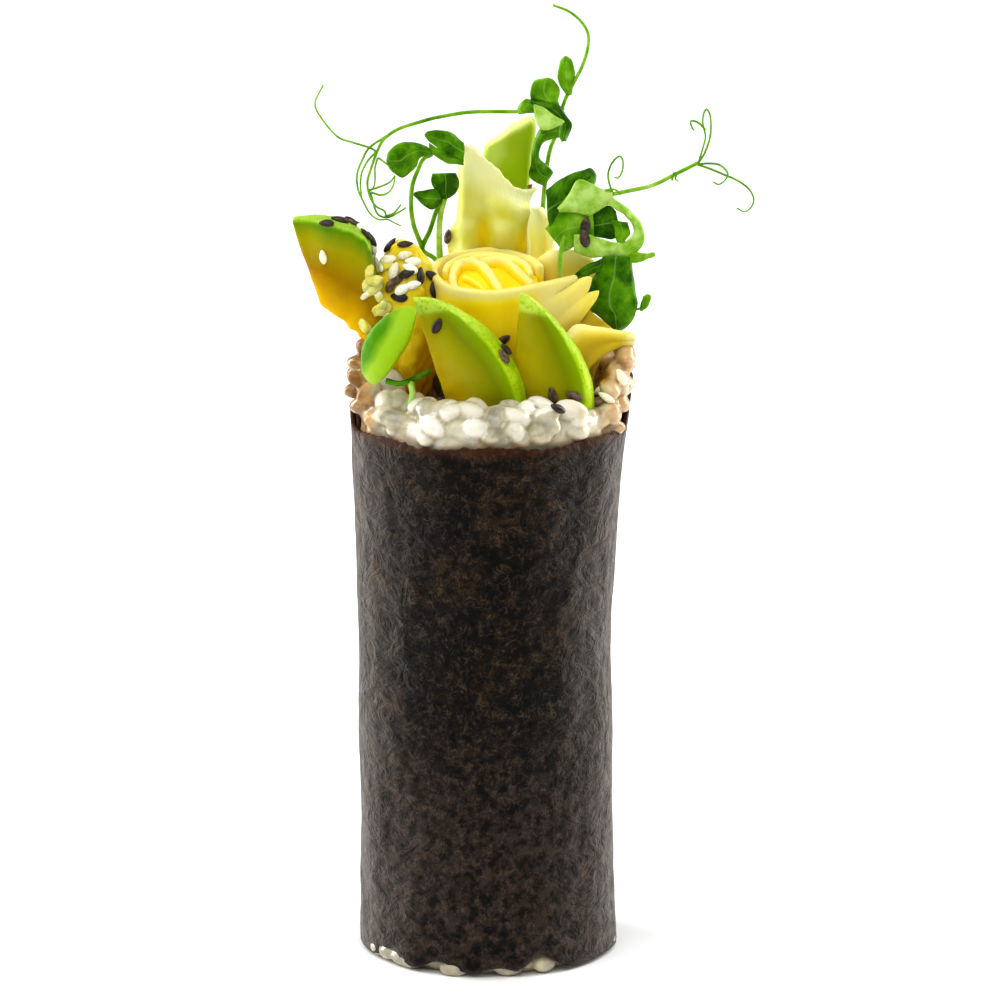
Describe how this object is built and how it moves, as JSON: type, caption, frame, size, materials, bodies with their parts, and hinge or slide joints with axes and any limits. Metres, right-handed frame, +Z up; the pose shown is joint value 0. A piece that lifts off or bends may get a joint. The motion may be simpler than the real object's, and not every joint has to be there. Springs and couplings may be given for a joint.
{
  "type": "temaki hand roll",
  "caption": "Upright hand roll of sushi rice in a sheet of nori, topped with avocado slices, a pickled ginger rose, sesame and pea shoots.",
  "frame": {"origin": "middle of the flat base of rice that the roll stands on", "axes": "+Z up along the roll, +Y away from the front, +X to the right seen from the front, where the avocado slices show"},
  "size_m": [0.0869, 0.053, 0.1811],
  "materials": {
    "nori": "damp dried seaweed, near black with brown mottling and a soft sheen at grazing angles; leather stands in for it",
    "rice": null,
    "avocado": null,
    "ginger": null,
    "shoot": null
  },
  "bodies": {
    "root": {"nori": "nori", "rice": "rice", "avocado_front": "avocado", "avocado_right": "avocado", "avocado_side": "avocado", "avocado_left": "avocado", "avocado_back": "avocado", "ginger_rose": "ginger", "ginger_rose_heart": "ginger", "ginger_tall": "ginger", "ginger_fold": "ginger", "ginger_curl": "ginger", "ginger_behind": "ginger", "ginger_fan_upper": "ginger", "ginger_fan_lower": "ginger", "shoot_right": "shoot", "shoot_top": "shoot", "shoot_left": "shoot", "shoot_front": "shoot"}
  },
  "joints": []
}
